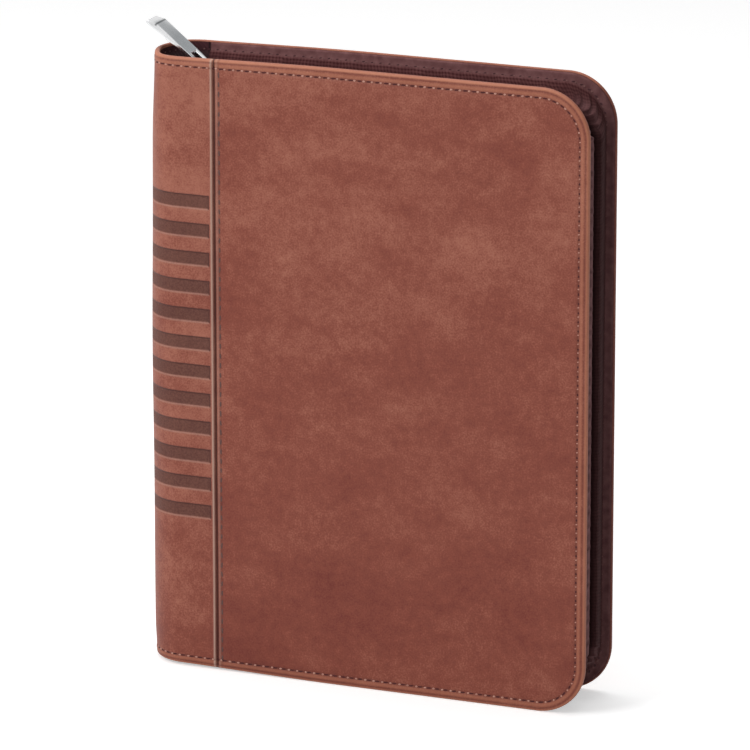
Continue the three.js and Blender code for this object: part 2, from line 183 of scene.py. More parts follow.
floor_paint, floor_wire, floor_shader = new_finish("floor_paint", Roughness=0.9)
floor_shader.inputs["Base Color"].default_value = (0.86, 0.86, 0.86, 1)
floor_shader.inputs["Specular IOR Level"].default_value = 0.1
floor_seen = floor_wire.node("ShaderNodeLightPath", {}, {}, "Is Camera Ray")
for ray in ("Is Glossy Ray", "Is Transmission Ray"):
    by_ray = floor_wire.node("ShaderNodeLightPath", {}, {}, ray)
    floor_seen = floor_wire.math("MAXIMUM", floor_seen, by_ray)
floor_glow = floor_wire.mix(floor_seen, (0, 0, 0, 1), (1, 1, 1, 1))
floor_wire.plug(floor_shader.inputs["Emission Color"], floor_glow)
floor_shader.inputs["Emission Strength"].default_value = 0.48
reach = 3.0
floor = new_piece(
    "floor",
    [(-reach, -reach, 0), (reach, -reach, 0), (reach, reach, 0), (-reach, reach, 0)],
    [(0, 1, 2, 3)],
    floor_paint,
)


def new_lamp(name, place, aim_at, size, power):
    lamp = bpy.data.objects.new(name, bpy.data.lights.new(name, "AREA"))
    lamp.data.shape = "SQUARE"
    lamp.data.size = size
    lamp.data.energy = power
    lamp.location = place
    lamp.rotation_euler = (Vector(aim_at) - Vector(place)).to_track_quat("-Z", "Y").to_euler()
    bpy.context.collection.objects.link(lamp)


case_middle = (0, 0, 0.12)
new_lamp("key_lamp", (-0.9, -1.1, 1.2), case_middle, 0.8, 14.5)
new_lamp("fill_lamp", (0.5, -1.5, 0.6), case_middle, 0.9, 2.5)
new_lamp("top_lamp", (-0.1, 0.2, 1.5), case_middle, 0.9, 10)


# COVER LEATHER
# One skin of waxed cognac leather runs from the front's fore-edge round the spine to the back's,
# over board. It is turned in at the edges, pressed into bars at the spine and seamed beside it.
# Sizes are in millimetres from the spine's outermost line, the middle of the case and its foot.
case_height = 240.0
case_width = 180.0
half_thickness = 16.0
corner = 19.0
skin = 4.6
quarter_run = half_thickness * math.pi / 2
fore_run = quarter_run + case_width - half_thickness
fold_run = half_thickness * math.pi / 4
fold_half = 2.6
end_drawn = 1.1
head_pressed = 0.9
spine_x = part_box("front_leather")[1][0] * 1000 - case_width


def place(x, y, z):
    """A point of the case, in metres and in the row's frame."""
    return Vector((spine_x + x, y, z)) / 1000


def run_of(x):
    """The way round the case from the spine's middle to a line that lies x along the cover."""
    return quarter_run + x - half_thickness


def end_draw(run, z):
    """How far the case's two ends are drawn in beside the spine, where no board stiffens them."""
    return end_drawn * (1 - ease(run, 10, 90)) * (ease(z, 232, case_height) + ease(z, 0, 8) - 1)


def head_taper(run, z):
    """How far the spine is pressed in at its head."""
    return head_pressed * (1 - ease(run, 6, 18)) * ease(z, 205, case_height)


def skin_point(run, z, depth, side):
    """A point under the case's outer face: side is -1 on the front and 1 on the back."""
    angle = min(run, quarter_run) / half_thickness
    radius = half_thickness - depth
    x = half_thickness - radius * math.cos(angle) + max(run - quarter_run, 0)
    return place(x, side * radius * math.sin(angle), z - end_draw(run, z))


def edge_distance(run, z):
    """How far a spot lies from the nearest edge of its half of the case."""
    across = fore_run - run
    along = min(z, case_height - z)
    if across < corner and along < corner:
        return corner - math.hypot(corner - across, corner - along)
    return min(across, along)


def bell(offset, width):
    """1 at no offset, falling to nothing within about two widths."""
    return math.exp(-((offset / width) ** 2))


def ease(value, low, high):
    """0 up to low and 1 from high on, with a smooth rise between."""
    share = min(max((value - low) / (high - low), 0), 1)
    return share * share * (3 - 2 * share)


def spread(low, high, count):
    """Evenly spaced values from low to high, both of them kept."""
    return [low + (high - low) * k / count for k in range(count + 1)]


bar_count = 12
bar_pitch = 11.02
bars_raised = 3.5
bar_height = 5.2
bar_depth = 0.3
bars_middle = case_height / 2 + bars_raised
bar_middles = [bars_middle + bar_pitch * (k - (bar_count - 1) / 2) for k in range(bar_count)]
bar_reach = run_of(29.05)
ridge_run = run_of(30.15)
groove_run = run_of(31.2)
seam_stitch_run = run_of(33.25)
stitch_inset = 3.7
welt_inset = 1.35
edge_roll = 1.3
ridge_height = 0.25
groove_depth = 0.8


def bar_share(run, z):
    """1 on the floor of a pressed bar, 0 on the leather round it."""
    near = min(abs(z - middle) for middle in bar_middles)
    beyond = ease(near, bar_height / 2 - 0.45, bar_height / 2)
    return (1 - beyond) * (1 - ease(run, bar_reach - 0.45, bar_reach))


def leather_depth(run, z):
    """How far the leather's face lies under the case's outer face, with all that is pressed in."""
    inset = edge_distance(run, z)
    depth = 0.28 * bell(inset - stitch_inset, 0.5) + 0.16 * bell(inset - welt_inset, 0.4)
    if inset < edge_roll:
        depth += edge_roll - math.sqrt(max(edge_roll ** 2 - (edge_roll - inset) ** 2, 0))
    depth += bar_depth * bar_share(run, z) * ease(run, 7, 13)
    seam = ease(inset, 0, 2.2)
    depth -= ridge_height * seam * bell(run - ridge_run, 0.42)
    depth += groove_depth * seam * bell(run - groove_run, 0.5)
    depth += 0.18 * seam * bell(run - seam_stitch_run, 0.7)
    leaning = 0.35 * (1 - ease(z, 4.5, 14)) + 0.9 * ease(z, 110, case_height)
    depth += leaning * (1 - ease(run, 6, 18)) + head_taper(run, z)
    calm = 1 - ease(stitch_inset + 1.5 - inset, 0, 1.5)
    swell = math.sin(0.046 * run + 0.6) * math.sin(0.031 * z + 0.4)
    swell += 0.5 * math.sin(0.11 * run - 0.07 * z)
    return depth + 0.12 * calm * swell


def half_cover(runs, rises, insets, arc):
    """The flat half of a cover as points (run, z), with the faces between them."""
    points = []
    index = {}
    faces = []

    def point(run, z):
        key = (round(run, 4), round(z, 4))
        if key not in index:
            index[key] = len(points)
            points.append((run, z))
        return index[key]

    def patch(rows):
        for low, high in zip(rows, rows[1:]):
            for square in zip(low, low[1:], high[1:], high):
                corners = list(dict.fromkeys(point(*spot) for spot in square))
                faces.append(corners)

    foot = list(insets)
    head = [case_height - inset for inset in reversed(insets)]
    levels = foot + rises[1:-1] + head
    inward = list(reversed(insets))
    patch([[(run, z) for run in runs] for z in levels])
    patch([[(fore_run - inset, z) for inset in inward] for z in rises])
    turns = spread(0, math.pi / 2, arc)
    for centre_z, up in ((case_height - corner, 1), (corner, -1)):
        rows = [
            [
                (
                    fore_run - corner + (corner - inset) * math.cos(angle),
                    centre_z + up * (corner - inset) * math.sin(angle),
                )
                for inset in inward
            ]
            for angle in turns
        ]
        patch(rows if up > 0 else rows[::-1])
    return points, faces, point


def rim_stations(runs, rises, arc):
    """The open edge from the spine's head round to its foot, as (run, z, way out)."""
    stations = [(run, case_height, (0, 1)) for run in runs]
    far = fore_run - corner
    for angle in spread(math.pi / 2, 0, arc)[1:]:
        out = (math.cos(angle), math.sin(angle))
        stations.append((far + corner * out[0], case_height - corner + corner * out[1], out))
    stations += [(fore_run, z, (1, 0)) for z in rises[::-1][1:]]
    for angle in spread(0, -math.pi / 2, arc)[1:]:
        out = (math.cos(angle), math.sin(angle))
        stations.append((far + corner * out[0], corner + corner * out[1], out))
    stations += [(run, 0, (0, -1)) for run in runs[::-1][1:]]
    return stations


def side_name(side):
    return "front" if side < 0 else "back"


def bend_at_fold(piece, side):
    """Bakes the placement of a sheet of the case into its points."""
    start = skin_point(fold_run - fold_half, 0, 0, side)
    end = skin_point(fold_run + fold_half, 0, 0, side)
    f"{side_name(side)}_cover"
    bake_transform(piece)


def finish_seamless(piece):
    """Both halves of a sheet share the spine's middle line, so their shading meets there."""
    mesh = piece.data
    normals = []
    for vertex in mesh.vertices:
        normal = vertex.normal.copy()
        if abs(vertex.co.y) < 1e-7:
            normal.y = 0
            normal.normalize()
        normals.append(normal)
    mesh.normals_split_custom_set_from_vertices(normals)


def paint(piece, name, values):
    """A value for each point of a piece, which its finish reads by name."""
    layer = piece.data.attributes.new(name, "FLOAT", "POINT")
    layer.data.foreach_set("value", values)


leather, wire, shader = new_finish("cognac_leather", Specular_IOR_Level=0.3)
where = wire.node("ShaderNodeTexCoord", {}, {}, "Object")
height_share = wire.node("ShaderNodeSeparateXYZ", {}, {0: where}, "Z").clamped(0.0, 0.24)
spine_share = 1 - wire.node("ShaderNodeSeparateXYZ", {}, {0: where}, "X").clamped(-0.062, -0.056)
drawn_out = wire.node("ShaderNodeMapping", {}, {"Vector": where, "Scale": (0.68, 1, 1.1)})
clouds = wire.node("ShaderNodeTexNoise", {}, {"Vector": drawn_out, "Scale": 30.0, "Detail": 4.0})
patches = wire.node("ShaderNodeTexNoise", {}, {"Vector": drawn_out, "Scale": 95.0, "Detail": 3.0})
mottle = wire.node("ShaderNodeTexNoise", {}, {"Vector": where, "Scale": 300.0, "Detail": 3.0})
speckle = wire.node("ShaderNodeTexNoise", {}, {"Vector": where, "Scale": 1500.0, "Detail": 2.0})
blotches = clouds * 0.46 + patches * 0.38 + mottle * 0.36 + speckle * 0.58
# The leather is lighter towards the head and towards the spine.
lightness = (blotches + height_share * 0.17 + spine_share * 0.1).clamped(0.65, 1.27)
body = wire.node(
    "ShaderNodeValToRGB",
    {"stops": [(0.0, tone(108, 48, 39)), (0.5, tone(131, 69, 55)), (1.0, tone(164, 102, 84))]},
    {"Fac": lightness},
    "Color",
)
lip = wire.node("ShaderNodeAttribute", {"attribute_name": "lip"}, {}, "Fac")
pale = wire.node("ShaderNodeAttribute", {"attribute_name": "pale"}, {}, "Fac")
dark = wire.node("ShaderNodeAttribute", {"attribute_name": "dark"}, {}, "Fac")
bar = wire.node("ShaderNodeAttribute", {"attribute_name": "bar"}, {}, "Fac")
# Rolled edge: part edge wear, part painted highlight; band by the stitches: painted highlight.
body = wire.mix(lip * 0.75, body, tone(190, 124, 96))
body = wire.mix(bar * 0.8, body, wire.mix(speckle, tone(62, 35, 31), tone(97, 66, 58)))
# Painted highlight on the seam's ridge, beside its stitches and on the bars' lower edges.
body = wire.mix(pale, body, tone(184, 150, 135))
# Painted shade in the grooves and stitch lines, on the bars' upper edges and the back's fore-edge.
body = wire.mix(dark, body, tone(56, 26, 24))
wire.plug(shader.inputs["Base Color"], body)
wire.plug(shader.inputs["Roughness"], 0.45 + mottle * 0.2 + bar * 0.12)
to_edge = {"feature": "DISTANCE_TO_EDGE"}
cells = wire.node("ShaderNodeTexVoronoi", to_edge, {"Vector": where, "Scale": 1100.0})
grain = wire.node("ShaderNodeTexNoise", {}, {"Vector": where, "Scale": 520.0, "Detail": 4.0})
pores = wire.math("MINIMUM", cells * 3.0, 1.0) * 0.5 + grain
relief = wire.node("ShaderNodeBump", {}, {"Strength": 0.25, "Distance": 0.0003, "Height": pores})
wire.plug(shader.inputs["Normal"], relief)


def bar_line(run, z, low):
    """1 on the upper pressed edge of a bar and on its end, or on its lower edge where low is set."""
    middle = min(bar_middles, key=lambda height: abs(z - height))
    half = bar_height / 2
    if low:
        return bell(z - middle + half + 0.1, 0.3) * (1 - ease(run, bar_reach - 0.3, bar_reach))
    upper = bell(z - middle - half + 0.1, 0.3) * (1 - ease(run, bar_reach, bar_reach + 0.3))
    end = bell(run - bar_reach + 0.15, 0.3) * (1 - ease(abs(z - middle), half - 0.2, half + 0.2))
    return max(upper, end)


leather_runs = spread(0, quarter_run, 24)
leather_runs += spread(quarter_run, bar_reach - 0.7, 8)[1:]
leather_runs += [bar_reach - step for step in (0.45, 0.3, 0.15, 0)]
leather_runs += spread(bar_reach + 0.2, seam_stitch_run + 1.4, 24)
leather_runs += spread(seam_stitch_run + 1.4, fore_run - corner, 16)[1:]
leather_insets = [0, 0.08, 0.2, 0.4, 0.65, 0.9, 1.15, 1.35, 1.55, 1.85, 2.3, 2.8, 3.2]
leather_insets += [3.45, 3.7, 3.95, 4.2, 4.6, 5.2, 6.2, 8, 12, corner]
leather_rises = [corner] + spread(25, 50, 4)
for middle in bar_middles:
    for offset in (1.8, 2.1, 2.3, 2.45, 2.6, 2.75, 2.95, 3.3):
        leather_rises += [middle - offset, middle + offset]
leather_rises += spread(197, case_height - corner, 3)
leather_rises = sorted(leather_rises)
leather_arc = 20
rim_section = [(0, 0.45), (0.1, 0.7), (0.4, 0.85), (1.2, 0.9)]

for side in (-1, 1):
    flat, faces, point = half_cover(leather_runs, leather_rises, leather_insets, leather_arc)
    depths = [leather_depth(run, z) for run, z in flat]
    insets = [edge_distance(run, z) for run, z in flat]
    rim = []
    for run, z, out in rim_stations(leather_runs, leather_rises, leather_arc):
        column = [point(run, z)]
        for inset, deeper in rim_section:
            column.append(len(flat))
            flat.append((run - out[0] * inset, z - out[1] * inset))
            depths.append(depths[column[0]] + deeper)
            insets.append(0)
        rim.append(column)
    for near, far in zip(rim, rim[1:]):
        for k in range(len(rim_section)):
            faces.append([near[k], far[k], far[k + 1], near[k + 1]])
    if side > 0:
        faces = [face[::-1] for face in faces]
    points = [skin_point(run, z, depth, side) for (run, z), depth in zip(flat, depths)]
    piece = new_piece(f"leather_{side_name(side)}", points, faces, leather)
    # Painted shade on the back's fore-edge, where less light reaches: its lip highlight is held down.
    fore_edge_shade = [ease(run, fore_run - 9, fore_run - 4) if side > 0 else 0 for run, z in flat]
    # Rolled edge part edge wear, part painted highlight; painted highlight on the band by the stitches.
    paint(piece, "lip", [
        max(bell(inset - 0.45, 0.5), 0.6 * bell(inset - 2.5, 0.7)) * (1 - 0.9 * shaded)
        for inset, shaded in zip(insets, fore_edge_shade)
    ])
    paint(piece, "bar", [bar_share(run, z) for run, z in flat])
    reaches_edge = [ease(inset, 0, 2) if side > 0 else 1 for inset in insets]
    # Painted highlight on the raised seam ridge and on the lower edges of the bars.
    paint(piece, "pale", [
        share * (0.95 * bell(run - ridge_run, 0.42) + 0.3 * bell(run - seam_stitch_run + 0.9, 0.4))
        + 0.36 * bar_line(run, z, True)
        for (run, z), share in zip(flat, reaches_edge)
    ])
    # Painted shade in the grooves, the stitch lines, the bars' upper edges and ends, and the back's
    # fore-edge.
    paint(piece, "dark", [
        max(
            0.92 * share * bell(run - groove_run, 0.45), 0.3 * bell(run - seam_stitch_run, 0.45),
            0.95 * bar_line(run, z, False), 0.4 * bell(inset - stitch_inset, 0.4),
            0.28 * bell(inset - welt_inset, 0.3), 0.45 * shaded * bell(inset, 1.6),
        )
        for (run, z), inset, shaded, share in zip(flat, insets, fore_edge_shade, reaches_edge)
    ])
    finish_seamless(piece)
    bend_at_fold(piece, side)
    nodes = [f"{side_name(side)}_leather", f"spine_panel_{side_name(side)}"]
    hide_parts(*nodes, "spine_panel_middle")


# STITCHING
# Waxed thread runs round the case through leather, board and tape. Each stitch shows as a pale dot
# beside a dark bead of painted shade for its slanted hole, outside and again inside the case.
def bead(points, faces, centre, along, across, out, size):
    """Adds a low rounded bead: size is its half length, half width and height in metres."""
    first = len(points)
    for spread_out, lift in ((1, -0.3), (0.92, 0.3), (0.6, 0.8)):
        for k in range(8):
            angle = k * math.pi / 4
            points.append(
                centre
                + along * (size[0] * spread_out * math.cos(angle))
                + across * (size[1] * spread_out * math.sin(angle))
                + out * (size[2] * lift)
            )
    points.append(centre + out * size[2])
    for ring in (first, first + 8):
        for k in range(8):
            faces.append([ring + k, ring + (k + 1) % 8, ring + 8 + (k + 1) % 8, ring + 8 + k])
    for k in range(8):
        faces.append([first + 16 + k, first + 16 + (k + 1) % 8, first + 24])


def seam_spots(pitch):
    """Places along the stitch line round one cover, from the spine's head to its foot."""
    straight = fore_run - corner
    radius = corner - stitch_inset
    arc = radius * math.pi / 2
    side_length = case_height - 2 * corner
    total = 2 * straight + 2 * arc + side_length
    spots = []
    count = int(total / pitch)
    for k in range(count):
        length = (k + 0.5) * total / count
        top = length < total / 2
        way = min(length, total - length)
        if way < straight:
            run, z, heading = way, case_height - stitch_inset, (1, 0)
        elif way < straight + arc:
            angle = math.pi / 2 - (way - straight) / radius
            run = straight + radius * math.cos(angle)
            z = case_height - corner + radius * math.sin(angle)
            heading = (math.sin(angle), -math.cos(angle))
        else:
            run = fore_run - stitch_inset
            z = case_height - corner - (way - straight - arc)
            heading = (0, -1)
        if not top:
            z = case_height - z
            heading = (-heading[0], heading[1])
        spots.append((run, z, heading))
    return spots


def sew(name, spots, side, depth_at, size, lean, offset, material, inside=False):
    """Beads on the case at each spot, turned by lean and moved on along the seam by offset."""
    points = []
    faces = []
    for run, z, heading in spots:
        shift = offset + random.uniform(-0.12, 0.12)
        run = max(run + heading[0] * shift, 0.05)
        z += heading[1] * shift
        depth = depth_at(run, z)
        centre = skin_point(run, z, depth, side)
        right = (skin_point(run + 0.1, z, depth, side) - centre).normalized()
        up = Vector((0, 0, 1))
        out = right.cross(up) * (side if inside else -side)
        flow = right * heading[0] + up * heading[1]
        aside = out.cross(flow)
        turned = lean + random.uniform(-0.14, 0.14)
        along = flow * math.cos(turned) + aside * math.sin(turned)
        pull = 0.48 + 0.52 * abs(heading[0])
        half_length = size[0] * pull * random.uniform(0.88, 1.1)
        metres = [part / 1000 for part in (half_length, *size[1:])]
        bead(points, faces, centre, along, out.cross(along), out, metres)
    piece = new_piece(name, points, faces, material)
    bend_at_fold(piece, side)
    return piece


def thread_finish(name, low, high, roughness):
    """Twisted waxed thread between two tones, also used for the painted shade of the stitch holes."""
    material, wire, shader = new_finish(name, Roughness=roughness)
    where = wire.node("ShaderNodeTexCoord", {}, {}, "Object")
    twist = wire.node("ShaderNodeTexNoise", {}, {"Vector": where, "Scale": 900.0, "Detail": 2.0})
    wire.plug(shader.inputs["Base Color"], wire.mix(twist, low, high))
    wire.plug(shader.inputs["Normal"], wire.node("ShaderNodeBump", {}, {
        "Strength": 0.4, "Distance": 0.0002, "Height": twist,
    }))
    return material


thread = thread_finish("waxed_thread", tone(154, 98, 84), tone(212, 164, 146), 0.55)
# The stitch holes are low dark beads of painted shade, on the leather and on the inside.
hole_shade = thread_finish("stitch_hole_shade", tone(52, 14, 15), tone(84, 30, 28), 0.85)
inner_thread = thread_finish("inner_thread", tone(86, 52, 52), tone(132, 92, 88), 0.75)
inner_hole_shade = thread_finish("inner_stitch_hole_shade", tone(52, 24, 28), tone(74, 38, 42), 0.85)

edge_depth = 2.3
sewn_depth = 2.6


def lining_depth(run, z):
    """The lining slopes up from the board's edge to the leather's lip, where it is sewn."""
    inset = edge_distance(run, z)
    lift = (sewn_depth - edge_depth) * ease(inset, 0.5, stitch_inset)
    return edge_depth + lift + (skin - sewn_depth) * ease(inset, 3.6, 7.2) + head_taper(run, z)


stitch_pitch = 3.47
seam_pitch = 3.75
seam_foot = 4.9
zip_start = 18.0
tape_over_lining = 0.6


def on_leather(run, z):
    return leather_depth(run, z) - 0.02


def in_seam(run, z):
    return leather_depth(run, z) + 0.02


def on_inside(run, z):
    """The inner face that a stitch comes out of: the tape's, or the lining's beside the spine."""
    return lining_depth(run, z) + (tape_over_lining if run > run_of(zip_start) else 0.03)


for side in (-1, 1):
    name = side_name(side)
    spots = seam_spots(stitch_pitch)
    sew(f"stitch_hole_shades_{name}", spots, side, on_leather, (1.05, 0.5, 0.12), 0.3, 0, hole_shade)
    sew(f"stitches_{name}", spots, side, on_leather, (0.55, 0.42, 0.26), 0.3, 1.45, thread)
    sew(f"inner_hole_shades_{name}", spots, side, on_inside, (0.9, 0.36, 0.08), 0.5, 0.2, inner_hole_shade, True)
    sew(f"inner_stitches_{name}", spots, side, on_inside, (0.5, 0.34, 0.2), 0.5, 1.5, inner_thread, True)

seam_thread = thread_finish("seam_thread", tone(66, 40, 38), tone(104, 72, 66), 0.65)
for side in (-1, 1):
    name = f"seam_stitches_{side_name(side)}"
    spots = [(seam_stitch_run, seam_foot + seam_pitch * k, (0, 1)) for k in range(62)]
    sew(name, spots, side, in_seam, (2.6, 0.42, 0.2), 0, 0, seam_thread)


# LINING
# Burgundy twill is glued over the inside of each cover and round the spine. It is one cloth on
# the real binder.
lining_cloth, wire, shader = new_finish("lining_twill", Roughness=0.85)
shader.inputs["Sheen Weight"].default_value = 0.06
shader.inputs["Specular IOR Level"].default_value = 0.2
where = wire.node("ShaderNodeTexCoord", {}, {}, "Object")
slanted = {"bands_direction": "DIAGONAL"}
twill = wire.node("ShaderNodeTexWave", slanted, {"Vector": where, "Scale": 330.0, "Distortion": 0.6})
patches = wire.node("ShaderNodeTexNoise", {}, {"Vector": where, "Scale": 60.0, "Detail": 4.0})
gloom = wire.node("ShaderNodeAttribute", {"attribute_name": "gloom"}, {}, "Fac")
cloth = wire.mix(patches, tone(70, 38, 43), tone(102, 64, 67))
cloth = wire.mix(gloom, cloth, tone(14, 5, 6))
wire.plug(shader.inputs["Base Color"], wire.mix(twill * 0.35, cloth, tone(58, 33, 38)))
relief = wire.node("ShaderNodeBump", {}, {"Strength": 0.4, "Distance": 0.0002, "Height": twill})
wire.plug(shader.inputs["Normal"], relief)


tape_fold_run = run_of(zip_start - 0.9)


def lining_gloom(run, z):
    """How deep a spot lies in shade: down the spine's hollow, and in the fold beside the zip's start."""
    inset = edge_distance(run, z)
    hollow = 0.85 * ease(inset, 1.2, 6) * (1 - ease(run, run_of(14), run_of(26)))
    fold = 0.9 * bell(run - tape_fold_run, 0.45) * (1 - ease(inset, 9, 20))
    return max(hollow, fold)


lining_runs = spread(0, quarter_run, 20)
lining_runs += [tape_fold_run + step for step in spread(-0.8, 0.8, 8)]
lining_runs += spread(run_of(zip_start + 2), fore_run - corner, 20)
lining_rises = spread(corner, case_height - corner, 24)
lining_insets = [0.5, 1.2, 2.2, 3.2, 3.8, 4.4, 5, 5.7, 6.4, 7.2, 10, 14, corner]
for side in (-1, 1):
    flat, faces, point = half_cover(lining_runs, lining_rises, lining_insets, 12)
    points = []
    for run, z in flat:
        inset = edge_distance(run, z)
        sag = 0.1 * math.sin(0.09 * run) * math.sin(0.06 * z) * ease(inset, 8, 14)
        points.append(skin_point(run, z, lining_depth(run, z) + sag, side))
    if side < 0:
        faces = [face[::-1] for face in faces]
    piece = new_piece(f"lining_{side_name(side)}", points, faces, lining_cloth)
    paint(piece, "gloom", [lining_gloom(run, z) for run, z in flat])
    finish_seamless(piece)
    bend_at_fold(piece, side)
    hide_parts(f"{side_name(side)}_lining", "spine_lining")


# ZIP TAPES
# Each half of the zip is a woven tape. Its edge is sewn flat inside the cover, and the rest
# crosses the gusset to the coil, a little gathered where it goes round a corner.
coil_top = 10.5
coil_fore = 7.0
coil_corner = 13.0
straight_steps = 90
corner_steps = 48


def zip_line(top_inset, fore_inset):
    """A line of the zip from the spine's head to its foot, as (x, z, way in, share of the turn)."""
    fore = case_width - fore_inset
    radius = corner + (coil_corner - corner) * top_inset / coil_top
    level = case_height - top_inset
    line = [(x, level, (0, -1), 0) for x in spread(zip_start, fore - radius, straight_steps)]
    for share in spread(0, 1, corner_steps)[1:]:
        out = (math.sin(share * math.pi / 2), math.cos(share * math.pi / 2))
        x = fore - radius + radius * out[0]
        z = level - radius + radius * out[1]
        line.append((x, z, (-out[0], -out[1]), share))
    uprights = spread(level - radius, case_height / 2, straight_steps)
    line += [(fore, z, (-1, 0), 1) for z in uprights[1:]]
    return line + [(x, case_height - z, (way[0], -way[1]), turned) for x, z, way, turned in line[-2::-1]]


def line_lengths(line):
    total = 0
    lengths = [0]
    for near, far in zip(line, line[1:]):
        total += math.hypot(far[0] - near[0], far[1] - near[1])
        lengths.append(total)
    return lengths


tape_cloth, wire, shader = new_finish("zip_tape", Roughness=0.9)
shader.inputs["Specular IOR Level"].default_value = 0.15
weave_place = wire.node("ShaderNodeAttribute", {"attribute_name": "weave"}, {}, "Vector")
along = wire.node("ShaderNodeSeparateXYZ", {}, {0: weave_place}, "X")
across = wire.node("ShaderNodeSeparateXYZ", {}, {0: weave_place}, "Y")
where = wire.node("ShaderNodeTexCoord", {}, {}, "Object")
fuzz = wire.node("ShaderNodeTexNoise", {}, {"Vector": where, "Scale": 330.0, "Detail": 3.0})
tangle = wire.node("ShaderNodeTexNoise", {}, {"Vector": where, "Scale": 150.0, "Detail": 3.0})
ribs = wire.math("SINE", along * 4.6 + tangle * 9.0, 0.0) * 0.5 + 0.5
picks = wire.math("SINE", across * 4.2 + tangle * 8.0, 0.0) * 0.5 + 0.5
lower_part = across.clamped(2.9, 4.4)
crest = wire.node("ShaderNodeAttribute", {"attribute_name": "crest"}, {}, "Fac")
shade = wire.node("ShaderNodeAttribute", {"attribute_name": "shade"}, {}, "Fac")
flat_part = wire.mix(fuzz, tone(80, 44, 47), tone(146, 104, 103))
rib_share = (ribs * 0.5 + picks * 0.6) * (fuzz + tangle - 0.3)
# Past the stitches the tape shows its own ribbed weave, in darker tones that are painted shade.
ribbed = wire.mix(rib_share, tone(62, 30, 32), tone(108, 68, 67))
cloth = wire.mix(lower_part, flat_part, ribbed)
cloth = wire.mix(shade, cloth, tone(32, 13, 14))
# Painted highlight on the crest of the tape where it crosses the gusset.
wire.plug(shader.inputs["Base Color"], wire.mix(crest, cloth, tone(124, 88, 89)))
height = (ribs * 0.3 + picks * 0.4) * lower_part + fuzz * 0.8
relief = wire.node("ShaderNodeBump", {}, {"Strength": 0.5, "Distance": 0.0003, "Height": height})
wire.plug(shader.inputs["Normal"], relief)

# Inset along the top and the foot, inset and distance from the middle along the fore-edge
tape_section = [
    (0.6, 13.4, 0.6, 13.4), (1.4, 13.35, 1.4, 13.35), (2.4, 13.25, 2.4, 13.25), (3.2, 13.15, 3.2, 13.15),
    (3.9, 12.9, 3.75, 12.8), (4.8, 12.2, 3.75, 11.7), (6.0, 11.1, 3.45, 10.2), (7.3, 10.4, 3.1, 8.6),
    (8.4, 9.4, 2.8, 7.0), (9.2, 8.0, 2.6, 5.5), (9.8, 6.4, 2.6, 4.3), (10.2, 5.0, 2.9, 3.4),
    (10.4, 3.9, 4.2, 2.95), (10.5, 3.1, 6.7, 3.0),
]
tape_half = 0.25
for side in (-1, 1):
    lines = [zip_line(top_inset, fore_inset) for top_inset, top_y, fore_inset, fore_y in tape_section]
    lengths = line_lengths(lines[0])
    count = len(lines[0])
    last_row = len(tape_section) - 1
    points = []
    weave = []
    crest_highlights = []
    shades = []
    for face_side in (1, -1):
        for row, (line, (top_inset, top_y, fore_inset, fore_y)) in enumerate(zip(lines, tape_section)):
            before = tape_section[max(row - 1, 0)]
            after = tape_section[min(row + 1, last_row)]
            crossing = ease(row, 4, 8) * (1 - ease(row, 11, 13))
            steps = zip(tape_section[:row], tape_section[1:row + 1])
            way_down = sum(math.dist(a[:2], b[:2]) for a, b in steps)
            for k, (x, z, inward, turned) in enumerate(line):
                y = top_y + (fore_y - top_y) * turned
                rise_in = (after[0] - before[0]) * (1 - turned) + (after[2] - before[2]) * turned
                rise_y = (after[1] - before[1]) * (1 - turned) + (after[3] - before[3]) * turned
                scale = tape_half / math.hypot(rise_in, rise_y)
                bend = math.sin(math.pi * turned)
                length = lengths[k]
                wave = math.sin(1.3 * length) + 0.6 * math.sin(2.1 * length + 1.3 * side)
                wave += 0.5 * math.sin(0.47 * length)
                gather = crossing * (0.07 + 0.5 * bend) * wave
                shift_in = face_side * rise_y * scale + gather
                shift_y = -face_side * rise_in * scale
                level = z + inward[1] * shift_in
                level -= end_draw(run_of(x), level)
                points.append(place(x + inward[0] * shift_in, side * (y + shift_y), level))
                weave.append((length, way_down, 0))
                # Painted highlight along the crest: on the front's fore-edge and corners, and the back's
                # corners.
                lit_crest = turned if side < 0 else 0.5 * bend
                crest_highlights.append(lit_crest * bell(row - 9.5, 2.0) * (0.75 + 0.2 * wave))
                side_shade = 0.45 + 0.3 * ease(row, 3.4, 4.6)
                top_shade = 0.3 * ease(row, 3.4, 7)
                shades.append(turned * side_shade + (1 - turned) * top_shade + 0.2 * ease(row, 10, 13))
    rows = len(tape_section)
    order = list(range(rows)) + list(range(2 * rows - 1, rows - 1, -1))
    faces = []
    for a, b in zip(order, order[1:] + order[:1]):
        for k in range(count - 1):
            faces.append([a * count + k, a * count + k + 1, b * count + k + 1, b * count + k])
    faces.append([row * count for row in order])
    faces.append([row * count + count - 1 for row in reversed(order)])
    if side > 0:
        faces = [face[::-1] for face in faces]
    piece = new_piece(f"tape_{side_name(side)}", points, faces, tape_cloth)
    layer = piece.data.attributes.new("weave", "FLOAT_VECTOR", "POINT")
    layer.data.foreach_set("vector", [part for spot in weave for part in spot])
    paint(piece, "crest", [min(max(value, 0), 1) for value in crest_highlights])
    paint(piece, "shade", [min(max(value, 0), 0.9) for value in shades])
    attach(piece, f"{side_name(side)}_cover")
    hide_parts(f"zip_tape_{side_name(side)}")


# ZIP COILS AND STOPS
# A coil of nylon is sewn along each tape's edge, and its turns mesh with the other coil's. Four
# small steel clips are pressed over the ends as stops.
nylon, wire, shader = new_finish("coil_nylon", Roughness=0.4)
where = wire.node("ShaderNodeTexCoord", {}, {}, "Object")
shade = wire.node("ShaderNodeTexNoise", {}, {"Vector": where, "Scale": 300.0})
wire.plug(shader.inputs["Base Color"], wire.mix(shade, tone(44, 22, 25), tone(68, 38, 42)))

